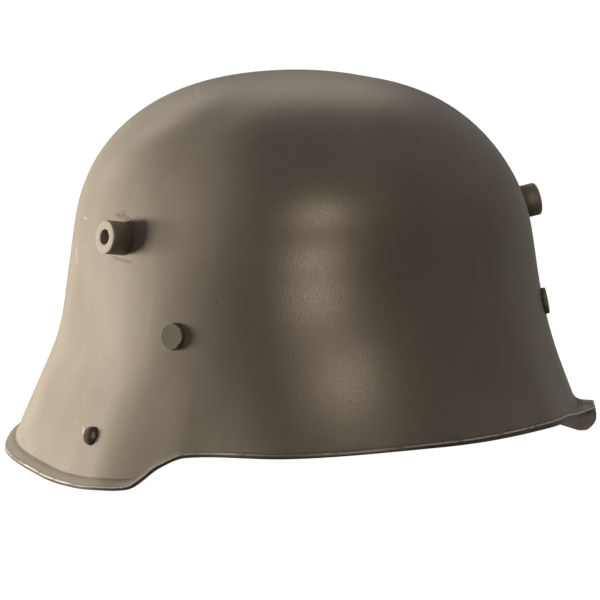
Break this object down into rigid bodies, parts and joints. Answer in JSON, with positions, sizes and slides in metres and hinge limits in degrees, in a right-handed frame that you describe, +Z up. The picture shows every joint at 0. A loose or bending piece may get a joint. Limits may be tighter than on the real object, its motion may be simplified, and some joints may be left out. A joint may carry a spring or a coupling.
{
  "type": "steel helmet",
  "caption": "Bare steel combat helmet shell with a visor, a flared skirt and a turned-out flange, hollow vent lugs at the temples, liner pins and strap rivets; rests on its rim.",
  "frame": {"origin": "centre of the helmet's box at the bottom of the rim, where it stands on a surface", "axes": "+Z up to the crown, -Y to the front of the visor, -X to the wearer's right"},
  "size_m": [0.2624, 0.2932, 0.172],
  "materials": {
    "field_paint": "aged olive-brown field paint, satin, with fine grain, scratches and chips",
    "lug_steel": "dark brown paint worn to bare metal on the end face",
    "pin_paint": "field paint worn at the edge",
    "rivet_steel": "dark steel with a satin shine"
  },
  "bodies": {
    "root": {"shell": "field_paint", "lug_right": "lug_steel", "lug_left": "lug_steel", "liner_pin_right": "pin_paint", "liner_pin_left": "pin_paint", "liner_pin_rear": "pin_paint", "strap_rivet_right": "rivet_steel", "strap_rivet_left": "rivet_steel"}
  },
  "joints": []
}
